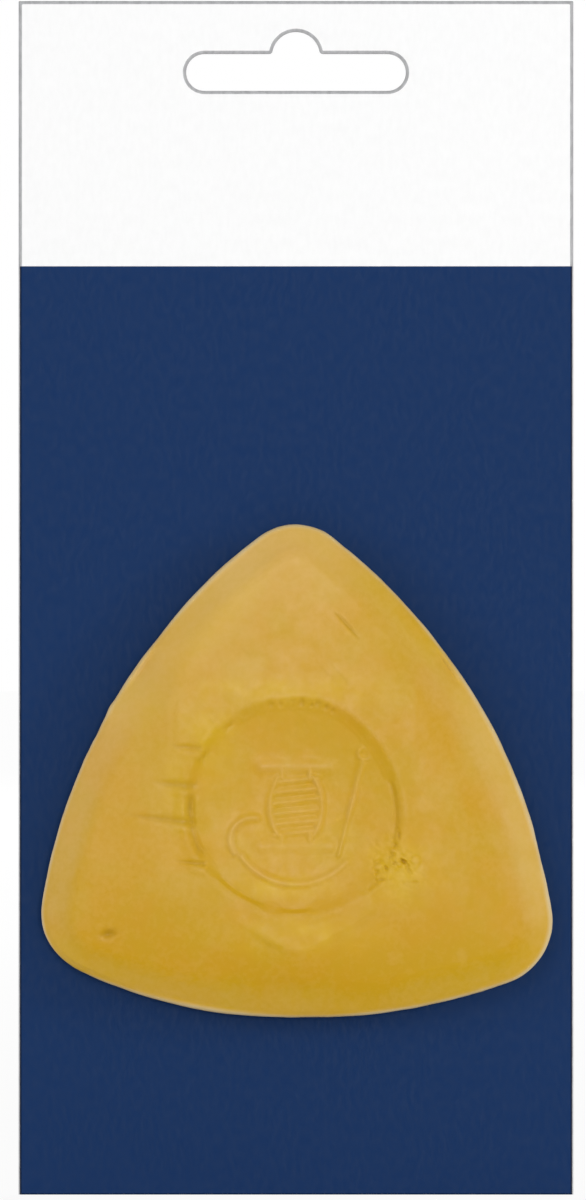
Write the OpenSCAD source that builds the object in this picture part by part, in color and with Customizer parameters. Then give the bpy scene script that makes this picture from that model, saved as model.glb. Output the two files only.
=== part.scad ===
// Tailor's chalk on a hang card: a pressed triangular chalk with a dished stamp,
// stuck by three removable adhesive dots to a printed board card with a euro slot.
// Row frame: X to the right, Z up, the card's back face in the plane Y = 0 and its
// printed front facing -Y. The origin is where a hook bears in the slot's bump.

/* [Card] */
// Width of the board card
card_w = 60; // [58:1:90]
// Height of the board card
card_h = 129.7; // [115:0.1:180]
// Thickness of the board
card_t = 0.5; // [0.3:0.05:1.2]
// Height of the white header above the inked field
header_h = 28.7; // [20:0.1:40]
// Thickness of the ink film on the front
ink_t = 0.03; // [0.02:0.01:0.1]

/* [Euro slot] */
// Overall width of the slot, over its round ends
slot_w = 24.1; // [20:0.1:34]
// Height of the slot's straight part
slot_h = 4.2; // [4:0.1:7]
// From the card's top edge down to the slot's upper edge
slot_drop = 5.5; // [4:0.1:10]
// Radius of the bump that centres the hook
bump_r = 2.7; // [2.5:0.1:5]
// Rise of the bump above the slot's upper edge
bump_rise = 2.4; // [1:0.1:3]
// Rounding where the bump runs into the slot
bump_root_r = 0.3; // [0.2:0.1:1]

/* [Chalk outline] */
// Overall width across the two feet
chalk_w = 55.4; // [48:0.1:57]
// Overall height from the bowed base to the tip
chalk_h = 53.5; // [50:0.1:58]
// Radius of the rounded tip
tip_r = 6.5; // [4.5:0.1:9]
// Radius of the two rounded feet
foot_r = 7.1; // [4.5:0.1:9]
// Radius of the bowed left and right sides
side_r = 62; // [50:1:120]
// Radius of the bowed base
base_r = 64.6; // [50:0.1:120]
// How far the left foot sits above, and the right foot below, their common height
foot_skew = 0.4; // [0:0.1:1]
// From the card's bottom edge up to the base of the chalk
chalk_lift = 19.4; // [5:0.1:30]

/* [Chalk section] */
// Full thickness across the flat lands
chalk_t = 7; // [5:0.1:10]
// Radius of the rounded drawing edge
nose_r = 0.8; // [0.4:0.1:1.2]
// Width of the bevel that leads up from the drawing edge
bevel_w = 3.2; // [2:0.1:3.8]
// Thickness where the bevel meets the sloping face
shoulder_t = 4.8; // [3:0.1:4.9]
// How strongly the face bows from the land down to the bevel, 0 for straight slopes
face_bow = 0.45; // [0:0.05:0.8]

/* [Land round the stamp] */
// From the stamp's axis to the land's upper edge
land_top = 12.6; // [11.6:0.1:14]
// From the stamp's axis to the land's left and right edges
land_side = 13.3; // [11.6:0.1:15]
// From the stamp's axis down to where the land's two lower edges would meet
land_point = 16.5; // [15:0.1:18]
// Slope of the two lower edges from the horizontal
land_slope = 30; // [15:1:40]
// How sharp the land's corners are
land_crisp = 14; // [6:1:20]

/* [Stamp] */
// Height of the stamp's centre above the base of the chalk
stamp_height = 23.1; // [22:0.1:25]
// Radius of the pressed roundel
stamp_r = 11.4; // [8:0.1:11.6]
// Depth of the step round the roundel's rim
stamp_step = 0.25; // [0.1:0.05:0.5]
// Width of the narrow ledge inside that step
stamp_ledge = 0.6; // [0.3:0.1:1.5]
// Depth of the round dish below the ledge
dish_depth = 0.6; // [0.3:0.05:1.2]

/* [Adhesive] */
// Radius of one adhesive dot
dot_r = 4; // [2.5:0.1:4.5]
// Thickness of one adhesive dot
dot_t = 0.8; // [0.4:0.1:1.5]
// Distance of the dots from the stamp's axis
dot_ring_r = 7; // [5.5:0.1:7.4]

/* [Hidden] */

board_white = [0.96, 0.96, 0.95];
ink_navy = [0.118, 0.216, 0.376];
chalk_yellow = [0.8, 0.635, 0.25];
adhesive_clear = [0.86, 0.85, 0.78];

$fn = 96;
through = 1; // how far a cutter runs past the face that it cuts
root_bite = 0.004; // how far the rounding's circle crosses the bump's, so that they meet cleanly

// Heights in the card's own plane, measured from the hook's seat
slot_top = -bump_rise;
bump_y = slot_top + bump_rise - bump_r;
card_top = slot_top + slot_drop;
card_bottom = card_top - card_h;
chalk_base = card_bottom + chalk_lift;
stamp_y = chalk_base + stamp_height;

// Depths towards the viewer, measured from the card's back face
ink_front = card_t + ink_t;
chalk_back = ink_front + dot_t;
chalk_mid = chalk_back + chalk_t / 2;

// Steps round one corner and one side of the outline, and up the section
corner_steps = 9;
side_steps = 19;
nose_steps = 3;
face_steps = 6;

// Radius of the round ring at which each flat land is closed, inside the stamp
closing_r = 5;

// Stands what is drawn flat, facing +Z, up on the XZ plane so that it faces -Y
module upright() {
    rotate([90, 0, 0]) children();
}

function heading(v) = atan2(v.y, v.x);

// Angle reached by turning anticlockwise from angle a to direction b
function turn_to(a, b) = a + ((b - a) % 360 + 360) % 360;

function total(list) = list * [for (item = list) 1];

// Centre of the arc of radius r that holds the circles (a, ra) and (b, rb) inside
// it and touches both, on the left of the way from a to b
function arc_centre(a, ra, b, rb, r) =
    let (
        span = norm(b - a),
        along = (b - a) / span,
        from_a = r - ra,
        from_b = r - rb,
        foot = (from_a * from_a - from_b * from_b + span * span) / (2 * span),
        rise = sqrt(from_a * from_a - foot * foot)
    )
    a + along * foot + [-along.y, along.x] * rise;

// The chalk is drawn about the stamp's axis. Its corner circles run anticlockwise
// from the tip, and the bow after each corner leads to the next one.
foot_x = chalk_w / 2 - foot_r;
foot_y = base_r - sqrt(pow(base_r - foot_r, 2) - pow(foot_x, 2)) - stamp_height;
corners = [
    [0, chalk_h - tip_r - stamp_height],
    [-foot_x, foot_y + foot_skew],
    [foot_x, foot_y - foot_skew]
];
corner_r = [tip_r, foot_r, foot_r];
bow_r = [side_r, base_r, side_r];
bows = [
    for (i = [0:2])
        let (next = (i + 1) % 3)
        arc_centre(corners[i], corner_r[i], corners[next], corner_r[next], bow_r[i])
];

// Part of an arc about c, from angle a to angle b, by its first and last step
function arc(c, r, a, b, first, last, steps) = [
    for (s = [first:last])
        let (angle = a + (b - a) * s / steps)
        c + r * [cos(angle), sin(angle)]
];

// Outline of the chalk at an inset: three rounded corners joined by three bows
function outline(inset) = [
    for (i = [0:2])
        let (
            last_bow = (i + 2) % 3,
            next = (i + 1) % 3,
            a_in = heading(corners[i] - bows[last_bow]),
            a_out = turn_to(a_in, heading(corners[i] - bows[i])),
            a_next = turn_to(a_out, heading(corners[next] - bows[i]))
        )
        each concat(
            arc(corners[i], corner_r[i] - inset, a_in, a_out, 0, corner_steps, corner_steps),
            arc(bows[i], bow_r[i] - inset, a_out, a_next, 1, side_steps - 1, side_steps)
        )
];

// The land's edges as [direction, distance] from the stamp's axis
lower_edge = land_point * cos(land_slope);
land_edges = [
    [90, land_top],
    [0, land_side],
    [180, land_side],
    [-90 + land_slope, lower_edge],
    [-90 - land_slope, lower_edge]
];

// Distance to the land's edge in a direction, with the corners rounded over
function land_reach(angle) =
    pow(total([for (e = land_edges) pow(max(0, cos(angle - e[0]) / e[1]), land_crisp)]), -1 / land_crisp);

// The land's outline, each point in line with its point of the shoulder
function land_outline() = [
    for (p = outline(bevel_w))
        let (angle = heading(p))
        land_reach(angle) * [cos(angle), sin(angle)]
];

function at_height(ring, h) = [for (p = ring) [p.x, p.y, h]];

// Turn of the drawing edge's round at which it runs straight into the bevel
bevel_run = bevel_w - nose_r;
bevel_rise = shoulder_t / 2;
nose_turn = atan2(bevel_run, bevel_rise) + asin(nose_r / norm([bevel_run, bevel_rise]));

// Rings of one half of the chalk, from the middle of the drawing edge to the land
// and on across it to the closing ring
function half_rings() =
    let (
        shoulder = outline(bevel_w),
        land = land_outline(),
        closing = [for (p = land) closing_r * p / norm(p)],
        drop = (chalk_t - shoulder_t) / 2
    )
    concat(
        [
            for (s = [0:nose_steps])
                let (a = nose_turn * s / nose_steps)
                at_height(outline(nose_r * (1 - cos(a))), nose_r * sin(a))
        ],
        [
            for (s = [0:face_steps])
                let (
                    t = s / face_steps,
                    rise = t * (1 + face_bow * (1 - t))
                )
                at_height(shoulder * (1 - t) + land * t, bevel_rise + drop * rise)
        ],
        [at_height(closing, chalk_t / 2)]
    );

// Closes a stack of equal rings into one solid with flat ends
module skin(rings) {
    n = len(rings[0]);
    points = [for (ring = rings) each ring];
    walls = [
        for (k = [0:len(rings) - 2], i = [0:n - 1])
            let (a = k * n + i, b = k * n + (i + 1) % n, c = a + n, d = b + n)
            each [[a, c, b], [b, c, d]]
    ];
    first = [for (i = [0:n - 1]) i];
    last = [for (i = [n - 1:-1:0]) (len(rings) - 1) * n + i];
    polyhedron(points, concat([first], walls, [last]));
}

// Both halves of the pressed chalk, alike about the parting plane
module chalk_body() {
    front = half_rings();
    back = [for (k = [len(front) - 1:-1:1]) [for (p = front[k]) [p.x, p.y, -p.z]]];
    skin(concat(back, front));
}

// The pressed roundel, cut down from its own origin: a step, a ledge and a dish
module stamp_cutter() {
    dish_r = stamp_r - stamp_ledge;
    ball_r = (dish_r * dish_r + dish_depth * dish_depth) / (2 * dish_depth);
    translate([0, 0, -stamp_step]) {
        cylinder(r = stamp_r, h = stamp_step + through);
        intersection() {
            translate([0, 0, ball_r - dish_depth]) sphere(r = ball_r);
            translate([0, 0, -dish_depth - through]) cylinder(r = stamp_r, h = dish_depth + 1.5 * through);
        }
    }
}

// Fills the corner where the bump runs into the slot and rounds it, on the right
module bump_root() {
    reach = bump_r + bump_root_r - root_bite;
    root_y = slot_top + bump_root_r;
    root_x = sqrt(reach * reach - pow(root_y - bump_y, 2));
    low = min(bump_y, slot_top - slot_h / 2);
    difference() {
        polygon([[0, bump_y], [root_x, root_y], [root_x, low], [0, low]]);
        translate([root_x, root_y]) circle(r = bump_root_r);
    }
}

// The euro slot: a round-ended slot with a bump over its middle
module euro_slot() {
    straight = slot_w - slot_h;
    translate([-straight / 2, slot_top - slot_h]) square([straight, slot_h]);
    for (side = [-1, 1])
        translate([side * straight / 2, slot_top - slot_h / 2]) circle(d = slot_h);
    translate([0, bump_y]) circle(r = bump_r);
    bump_root();
    mirror([1, 0]) bump_root();
}

module card() {
    color(board_white) upright() linear_extrude(card_t) difference() {
        translate([-card_w / 2, card_bottom]) square([card_w, card_h]);
        euro_slot();
    }
}

module ink_field() {
    color(ink_navy) upright() translate([-card_w / 2, card_bottom, card_t])
        cube([card_w, card_h - header_h, ink_t]);
}

module chalk() {
    color(chalk_yellow) upright() translate([0, stamp_y, chalk_mid]) difference() {
        chalk_body();
        translate([0, 0, chalk_t / 2]) stamp_cutter();
    }
}

// A bead of adhesive pressed flat, at an angle round the stamp's axis
module adhesive_dot(angle) {
    rim_r = dot_t / 2;
    color(adhesive_clear) upright()
        translate([dot_ring_r * cos(angle), stamp_y + dot_ring_r * sin(angle), ink_front])
        rotate_extrude() {
            square([dot_r - rim_r, dot_t]);
            intersection() {
                translate([dot_r - rim_r, rim_r]) circle(r = rim_r);
                translate([dot_r - rim_r, 0]) square([rim_r, dot_t]);
            }
        }
}

card();
ink_field();
chalk();
adhesive_dot(90);  // adhesive_dot_top
adhesive_dot(210);  // adhesive_dot_left
adhesive_dot(330);  // adhesive_dot_right
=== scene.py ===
import math

import bmesh
import bpy
import numpy as np
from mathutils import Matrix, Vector


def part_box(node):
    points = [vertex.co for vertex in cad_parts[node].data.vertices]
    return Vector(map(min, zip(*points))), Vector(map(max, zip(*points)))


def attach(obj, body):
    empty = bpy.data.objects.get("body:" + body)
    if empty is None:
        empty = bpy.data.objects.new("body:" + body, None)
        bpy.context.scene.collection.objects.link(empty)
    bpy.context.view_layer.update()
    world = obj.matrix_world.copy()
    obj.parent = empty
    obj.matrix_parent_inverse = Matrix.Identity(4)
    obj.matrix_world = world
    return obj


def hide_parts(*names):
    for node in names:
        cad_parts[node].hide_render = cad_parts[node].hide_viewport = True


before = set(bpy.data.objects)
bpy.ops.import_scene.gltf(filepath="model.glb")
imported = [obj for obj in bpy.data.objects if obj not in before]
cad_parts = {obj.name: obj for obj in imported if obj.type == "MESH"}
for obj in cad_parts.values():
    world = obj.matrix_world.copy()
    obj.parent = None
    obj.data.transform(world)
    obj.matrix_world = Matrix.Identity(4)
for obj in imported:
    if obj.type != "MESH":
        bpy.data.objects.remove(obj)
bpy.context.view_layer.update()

MM = 0.001

# The photograph's frame, in its own pixels
PHOTO_W = 586
PHOTO_H = 1200
CARD_LEFT_PX = 20.25
CARD_RIGHT_PX = 571.75
CARD_TOP_PX = 2.5

# Places taken from the CAD model, in millimetres: x to the right, z up, y away from the viewer
card_low, card_high = (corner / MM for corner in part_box("card"))
ink_low, ink_high = (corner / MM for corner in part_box("ink_field"))
chalk_low, chalk_high = (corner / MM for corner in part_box("chalk"))
card_w = card_high.x - card_low.x
card_front = card_low.y
card_back = card_high.y
ink_front = ink_low.y
header_foot = ink_high.z
chalk_w = chalk_high.x - chalk_low.x
chalk_h = chalk_high.z - chalk_low.z
chalk_t = chalk_high.y - chalk_low.y
chalk_mid = (chalk_low.y + chalk_high.y) / 2

# The euro slot, as it is cut in the CAD model
SLOT_W = 24.1
SLOT_H = 4.2
SLOT_TOP = -2.4
BUMP_R = 2.7
BUMP_ROOT_R = 0.3

# The chalk's own sizes, as they are in the CAD model
TIP_R = 6.5
FOOT_R = 7.1
SIDE_R = 62.0
BASE_R = 64.6
FOOT_SKEW = 0.4
STAMP_HEIGHT = 23.1
NOSE_R = 0.8
BEVEL_W = 3.2
SHOULDER_T = 4.8
FACE_BOW = 0.45
LAND_TOP = 12.6
LAND_SIDE = 13.3
LAND_POINT = 16.5
LAND_SLOPE = 30.0
LAND_CRISP = 14.0
STAMP_R = 11.4
STAMP_STEP = 0.25
STAMP_LEDGE = 0.6
DISH_DEPTH = 0.6
stamp_z = chalk_low.z + STAMP_HEIGHT


# Small helpers for shapes
def direction(degrees):
    a = math.radians(degrees)
    return np.array([math.cos(a), math.sin(a)])


def heading(v):
    return math.degrees(math.atan2(v[1], v[0]))


def turn_to(a, b):
    return a + (b - a) % 360


def turn_away(turn, middle):
    """How many degrees a heading lies off another one."""
    return np.abs((turn - middle + 180) % 360 - 180)


def smooth(low, high, value):
    """Runs from 0 at low to 1 at high with soft ends; low may be the larger of the two."""
    t = np.clip((value - low) / (high - low), 0.0, 1.0)
    return t * t * (3 - 2 * t)


def fade(value, stops):
    """Comes in from 0 to 1 over the first two stops and, where there are four, goes out over the others."""
    share = smooth(*stops[:2], value)
    if len(stops) == 4:
        share = share * smooth(stops[3], stops[2], value)
    return share


def soft_min(a, b, blend):
    h = np.clip(0.5 + 0.5 * (b - a) / blend, 0.0, 1.0)
    return b * (1 - h) + a * h - blend * h * (1 - h)


# What makes a ridge's width its width at half height
HALF_HEIGHT = 1.665


def ridge(distance, width):
    """A soft ridge of height 1 with that width at half height."""
    return np.exp(-((HALF_HEIGHT * distance / width) ** 2))


LUMP_CELLS = 64
LUMP_START = (17.3, 29.1)


def lumps(x, y, size, seed):
    """Smooth random field between -1 and 1 whose lumps are about size millimetres across."""
    table = np.random.default_rng(seed).uniform(-1.0, 1.0, (LUMP_CELLS, LUMP_CELLS))
    u, v = x / size + LUMP_START[0], y / size + LUMP_START[1]
    i, j = np.floor(u).astype(int), np.floor(v).astype(int)
    fu, fv = smooth(0, 1, u - i), smooth(0, 1, v - j)
    i0, i1 = i % LUMP_CELLS, (i + 1) % LUMP_CELLS
    j0, j1 = j % LUMP_CELLS, (j + 1) % LUMP_CELLS
    low = table[i0, j0] * (1 - fu) + table[i1, j0] * fu
    high = table[i0, j1] * (1 - fu) + table[i1, j1] * fu
    return low * (1 - fv) + high * fv


def round_lumps(angle, radius, size, seed):
    """The random field as it runs round a circle."""
    return lumps(radius * np.cos(angle), radius * np.sin(angle), size, seed)


def layered(x, y, layers):
    """Sum of random fields, each with its height, size and seed."""
    return sum(height * lumps(x, y, size, seed) for height, size, seed in layers)


def patchy(field, depth):
    """A share of 1 at most, which a random field lowers by up to twice that depth."""
    return 1 - depth + depth * field


def line_distance(x, y, a, b):
    """Distance to the stretch from a to b, and how far along it the nearest point is, 0 to 1."""
    (ax, ay), (bx, by) = a, b
    length2 = (bx - ax) ** 2 + (by - ay) ** 2
    t = np.clip(((x - ax) * (bx - ax) + (y - ay) * (by - ay)) / length2, 0.0, 1.0)
    return np.hypot(x - ax - t * (bx - ax), y - ay - t * (by - ay)), t


def arc_distance(x, y, centre, radius, start, end):
    """Distance to an arc from heading start to heading end, anticlockwise."""
    dx, dy = x - centre[0], y - centre[1]
    angle = (np.degrees(np.arctan2(dy, dx)) - start) % 360
    on_arc = np.abs(np.hypot(dx, dy) - radius)
    ends = [np.array(centre) + radius * direction(a) for a in (start, end)]
    to_ends = np.minimum.reduce([np.hypot(x - e[0], y - e[1]) for e in ends])
    return np.where(angle <= end - start, on_arc, to_ends)


# The chalk's outline: three corner circles joined by three bowed sides, about the stamp's axis
def arc_centre(a, ra, b, rb, r):
    """Centre of the arc of radius r round two circles that it touches, left of the way from a to b."""
    way = b - a
    span = np.linalg.norm(way)
    along = way / span
    from_a, from_b = r - ra, r - rb
    foot = (from_a**2 - from_b**2 + span**2) / (2 * span)
    rise = math.sqrt(from_a**2 - foot**2)
    return a + along * foot + np.array([-along[1], along[0]]) * rise


foot_x = chalk_w / 2 - FOOT_R
foot_y = BASE_R - math.sqrt((BASE_R - FOOT_R) ** 2 - foot_x**2) - STAMP_HEIGHT
CORNERS = [
    np.array([0.0, chalk_h - TIP_R - STAMP_HEIGHT]),
    np.array([-foot_x, foot_y + FOOT_SKEW]),
    np.array([foot_x, foot_y - FOOT_SKEW]),
]
CORNER_R = [TIP_R, FOOT_R, FOOT_R]
BOW_R = [SIDE_R, BASE_R, SIDE_R]
BOWS = [arc_centre(CORNERS[i], CORNER_R[i], CORNERS[i - 2], CORNER_R[i - 2], BOW_R[i]) for i in range(3)]
CORNER_STEPS = 42
SIDE_STEPS = 174


def corner_span(i):
    """Headings at which the rounding of corner i starts and ends, anticlockwise."""
    start = heading(CORNERS[i] - BOWS[i - 1])
    return start, turn_to(start, heading(CORNERS[i] - BOWS[i]))


def outline(inset):
    """The outline's points at an inset, as an array of x and y."""
    points = []
    for i in range(3):
        start, end = corner_span(i)
        far = turn_to(end, heading(CORNERS[i - 2] - BOWS[i]))
        for s in range(CORNER_STEPS):
            angle = start + (end - start) * s / CORNER_STEPS
            points.append(CORNERS[i] + (CORNER_R[i] - inset) * direction(angle))
        for s in range(SIDE_STEPS):
            angle = end + (far - end) * s / SIDE_STEPS
            points.append(BOWS[i] + (BOW_R[i] - inset) * direction(angle))
    return np.array(points)


def edge_distance(x, y):
    """How far inside the outline a point lies."""
    inside = np.minimum.reduce([BOW_R[i] - np.hypot(x - BOWS[i][0], y - BOWS[i][1]) for i in range(3)])
    for i in range(3):
        start, end = corner_span(i)
        dx, dy = x - CORNERS[i][0], y - CORNERS[i][1]
        angle = (np.degrees(np.arctan2(dy, dx)) - start) % 360
        inside = np.where(angle < end - start, CORNER_R[i] - np.hypot(dx, dy), inside)
    return inside


# The chalk's face: a bevel, a bowed slope and the flat land round the stamp
LOWER_EDGE = LAND_POINT * math.cos(math.radians(LAND_SLOPE))
# The land's straight edges: the heading each one faces and its distance from the stamp's axis
LAND_EDGES = [
    (90.0, LAND_TOP),
    (0.0, LAND_SIDE),
    (180.0, LAND_SIDE),
    (-90.0 + LAND_SLOPE, LOWER_EDGE),
    (-90.0 - LAND_SLOPE, LOWER_EDGE),
]
LAND_MARGIN = 2.6
LAND_LIMIT_BLEND = 0.5
LAND_BLEND = 0.05
LAND_WORN_BLEND = 0.3
# Heights between which the land's edge goes from crisp to worn
LAND_WORN = (-8.0, 2.0)
SHOULDER_BLEND = 0.35
bevel_run = BEVEL_W - NOSE_R
bevel_rise = SHOULDER_T / 2
NOSE_TURN = math.atan2(bevel_run, bevel_rise) + math.asin(NOSE_R / math.hypot(bevel_run, bevel_rise))
nose_end = NOSE_R * (1 - math.cos(NOSE_TURN))
nose_top = NOSE_R * math.sin(NOSE_TURN)
BEVEL_SLOPE = (bevel_rise - nose_top) / (BEVEL_W - nose_end)


def land_reach(angle):
    """How far the land reaches from the stamp's axis."""
    total = sum(np.maximum(0.0, np.cos(angle - math.radians(a)) / d) ** LAND_CRISP for a, d in LAND_EDGES)
    return total ** (-1 / LAND_CRISP)


shoulder = outline(BEVEL_W)
shoulder_angle = np.arctan2(shoulder[:, 1], shoulder[:, 0])
shoulder_order = np.argsort(shoulder_angle)


def shoulder_reach(angle):
    """How far the line where the bevel ends reaches from the stamp's axis."""
    reach = np.hypot(shoulder[:, 0], shoulder[:, 1])
    return np.interp(angle, shoulder_angle[shoulder_order], reach[shoulder_order], period=2 * math.pi)


def plain_face(x, y):
    """Height of the face above the chalk's middle plane, without the stamp."""
    angle, reach = np.arctan2(y, x), np.hypot(x, y)
    outer = shoulder_reach(angle)
    land = soft_min(land_reach(angle), outer - LAND_MARGIN, LAND_LIMIT_BLEND)
    t = (outer - reach) / (outer - land)
    slope = bevel_rise + (chalk_t - SHOULDER_T) / 2 * t * (1 + FACE_BOW * (1 - np.minimum(t, 1.0)))
    blend = LAND_BLEND + (LAND_WORN_BLEND - LAND_BLEND) * smooth(*LAND_WORN, y)
    face = soft_min(slope, chalk_t / 2, blend)
    bevel = nose_top + BEVEL_SLOPE * (edge_distance(x, y) - nose_end)
    return soft_min(bevel, face, SHOULDER_BLEND)


# What is pressed into the roundel: a generic mark of the trade, a reel of thread and a needle
STROKE = 0.65
REEL_HALF_W = 3.6
REEL_TOP = 4.2
REEL_FOOT = -4.4
CORE_HALF_W = 1.5
FLANGE_T = 1.1
FLANGE_GAP = 1.2
# The two bowed sides of the wound thread: where their circles lie and the headings at which they start
WINDING_SIDES = [(-3.2, -32), (3.2, 148)]
WINDING_MIDDLE = -0.1
WINDING_R = 6.0
WINDING_TURN = 64
THREAD_TURNS = 6
THREAD_PITCH = 1.14
THREAD_START = 1.2
THREAD_HALF_W = 2.3
THREAD_LEAN = 0.5
THREAD_STRENGTH = 0.75
# The loose thread that runs from the reel to the needle: centre, radius, start and end of its arcs
LOOSE_THREAD = [((0.0, -1.2), 7.3, 216, 318), ((-4.7, -3.7), 2.4, 80, 216)]
LOOSE_STRENGTH = 0.9
NEEDLE_POINT = (4.6, -5.4)
NEEDLE_HEAD = (7.2, 4.7)
NEEDLE_POINT_W = 0.35
NEEDLE_SPREAD = 0.4
EYE = (7.4, 5.6)
EYE_R = 0.65
EYE_STROKE = 0.45


def emblem(x, y):
    """Height of the mark's strokes, 0 to 1."""
    parts = []
    for level in (REEL_TOP, REEL_FOOT):
        d, _ = line_distance(x, y, (-REEL_HALF_W, level), (REEL_HALF_W, level))
        parts.append(ridge(d, FLANGE_T))
        for side in (-CORE_HALF_W, CORE_HALF_W):
            inner = level - math.copysign(FLANGE_GAP, level)
            d, _ = line_distance(x, y, (side, level), (side, inner))
            parts.append(ridge(d, STROKE))
    for centre_x, start in WINDING_SIDES:
        d = arc_distance(x, y, (centre_x, WINDING_MIDDLE), WINDING_R, start, start + WINDING_TURN)
        parts.append(ridge(d, STROKE))
    for n in range(THREAD_TURNS):
        level = REEL_FOOT + THREAD_START + n * THREAD_PITCH
        d, _ = line_distance(x, y, (-THREAD_HALF_W, level), (THREAD_HALF_W, level + THREAD_LEAN))
        parts.append(THREAD_STRENGTH * ridge(d, STROKE))
    for arc in LOOSE_THREAD:
        parts.append(LOOSE_STRENGTH * ridge(arc_distance(x, y, *arc), STROKE))
    d, along = line_distance(x, y, NEEDLE_POINT, NEEDLE_HEAD)
    parts.append(ridge(d, NEEDLE_POINT_W + NEEDLE_SPREAD * along))
    parts.append(ridge(arc_distance(x, y, EYE, EYE_R, 0, 360), EYE_STROKE))
    return np.maximum.reduce(parts)


# The groove round the roundel, which is worn faint and wide except where it is still deep
RING_W = 0.7
RING_WORN_W = 1.5
RING_DEPTH = 0.13
RING_FAINT = 0.2
# RING_DARK: painted shade in the groove
RING_DARK = 0.42
RING_DASHES = 0.3
# Where the groove is still deep: the headings it runs between, and how deep
RING_DEEP = [
    (-21, 14, 0.75),
    (174, 206, 1.7),
    (222, 251, 0.35),
    (262, 277, 0.3),
    (127, 133, 0.5),
    (149, 155, 0.7),
]
# Degrees beyond and within a deep stretch's ends over which it fades
RING_FADE_OUT = 4
RING_FADE_IN = 3
# A stretch is this much crisper than it is deep
CRISP_EXTRA = 0.55
# Where the rim is pushed off its circle: heading, half width in degrees and push
RIM_BENDS = [(31, 62, -0.8), (95, 45, -0.25), (225, 100, 0.1), (318, 24, 0.35)]
RIM_WANDER = 0.08
# How far the step into the roundel spreads outward and inward from the rim, and more where it is worn
STEP_OUT = 0.12
STEP_IN = 0.3
STEP_WORN_W = 0.6
# Small lumps and hollows along the top of the rim: heading, distance past the rim, width and strength
BEADS = [
    (104, -0.1, 0.6, 0.7),
    (99, -0.3, 0.45, 0.5),
    (92, -0.05, 0.5, 0.3),
    (87, -0.2, 0.6, 0.8),
    (81, -0.35, 0.4, 0.6),
    (78, -0.1, 0.55, 0.7),
    (73, -0.25, 0.5, 0.9),
    (69, -0.4, 0.45, 0.6),
]
BEAD_DEPTH = 0.15
# BEAD_DARK: painted shade where the beads dip
BEAD_DARK = 0.5
# The raised lip outside the rim, which carries painted highlight
LIP_PAST = 0.85
LIP_W = 0.9
LIP_HEIGHT = 0.08
LIP_PALE = 0.2
LIP_PATCHES = 0.5
# How the mark stands in the dish, and the painted highlight on its raised strokes
MARK_HEIGHT = 0.32
MARK_PALE = 0.62
MARK_WORN = 0.4
MARK_MARGIN = 1.2


def ring_state(turn):
    """How crisp the groove still is at a heading, from 0 where it is worn to 1, and how deep."""
    crisp, depth = np.zeros_like(turn), np.full_like(turn, RING_FAINT)
    for start, end, deep in RING_DEEP:
        half = (end - start) / 2
        share = smooth(half + RING_FADE_OUT, half - RING_FADE_IN, turn_away(turn, (start + end) / 2))
        crisp = np.maximum(crisp, share * min(1.0, deep + CRISP_EXTRA))
        depth = np.maximum(depth, RING_FAINT + (deep - RING_FAINT) * share)
    return crisp, depth


def stamp_relief(x, y):
    """Height of the roundel, the painted shade in its hollows and the painted highlight on its raised
    parts.
    """
    reach, angle = np.hypot(x, y), np.arctan2(y, x)
    turn = np.degrees(angle)
    rim = STAMP_R + RIM_WANDER * round_lumps(angle, radius=6, size=1.6, seed=21)
    rim = rim + sum(push * smooth(half, 0.0, turn_away(turn, middle)) for middle, half, push in RIM_BENDS)
    dish_r = rim - STAMP_LEDGE
    crisp, depth = ring_state(turn)
    worn_step = STEP_WORN_W * (1 - crisp)
    height = -STAMP_STEP * smooth(rim + STEP_OUT + worn_step, rim - STEP_IN - worn_step, reach)
    height = height - DISH_DEPTH * np.clip(1 - (reach / dish_r) ** 2, 0.0, 1.0)
    dashes = patchy(round_lumps(angle, radius=9, size=1.4, seed=8), RING_DASHES)
    groove_w = RING_W + (RING_WORN_W - RING_W) * (1 - crisp)
    groove = ridge(reach - rim, groove_w) * dashes * depth
    beads = np.zeros_like(x)
    for bead_turn, past, width, strength in BEADS:
        bead_x, bead_y = (STAMP_R + past) * direction(bead_turn)
        beads = np.maximum(beads, strength * ridge(np.hypot(x - bead_x, y - bead_y), width))
    lip_patches = patchy(round_lumps(angle, radius=8, size=1.7, seed=12), LIP_PATCHES)
    lip = ridge(reach - rim - LIP_PAST, LIP_W) * lip_patches
    height = height - RING_DEPTH * groove - BEAD_DEPTH * beads + LIP_HEIGHT * lip
    worn = patchy(lumps(x, y, size=2.2, seed=5), MARK_WORN)
    mark = emblem(x, y) * worn * smooth(dish_r, dish_r - MARK_MARGIN, reach)
    # Painted shade in the groove and the bead pits; painted highlight on the raised mark and lip
    dark = np.clip(RING_DARK * groove + BEAD_DARK * beads, 0.0, 1.0)
    return height + MARK_HEIGHT * mark, dark, MARK_PALE * mark + LIP_PALE * lip


# Broken places of the roundel's rim: middle, half length and half width, heading and height
CHIPS = [
    ((11.1, -3.3), 0.5, 0.14, 92, -0.14),
    ((10.7, -4.3), 0.34, 0.2, 75, -0.16),
    ((10.5, -4.85), 0.24, 0.2, 60, 0.12),
    ((10.3, -5.3), 0.3, 0.24, 10, -0.11),
    ((11.6, -6.05), 0.42, 0.17, 132, -0.3),
    ((12.1, -6.9), 0.55, 0.14, 107, -0.09),
    ((11.1, -6.3), 0.3, 0.2, 130, 0.13),
    ((12.9, -5.9), 0.55, 0.4, 95, 0.09),
    ((10.6, -6.2), 0.2, 0.15, 20, -0.13),
    ((9.7, -6.7), 0.32, 0.17, 125, -0.17),
    ((8.8, -6.1), 0.5, 0.14, 20, -0.07),
    ((8.9, -6.6), 0.4, 0.22, 20, 0.1),
    ((8.7, -7.25), 0.22, 0.14, 60, -0.09),
    ((9.2, -8.0), 0.34, 0.16, 5, -0.13),
    ((8.1, -8.7), 0.7, 0.3, 40, -0.06),
    ((12.7, -8.3), 0.4, 0.12, 10, -0.06),
]
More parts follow.
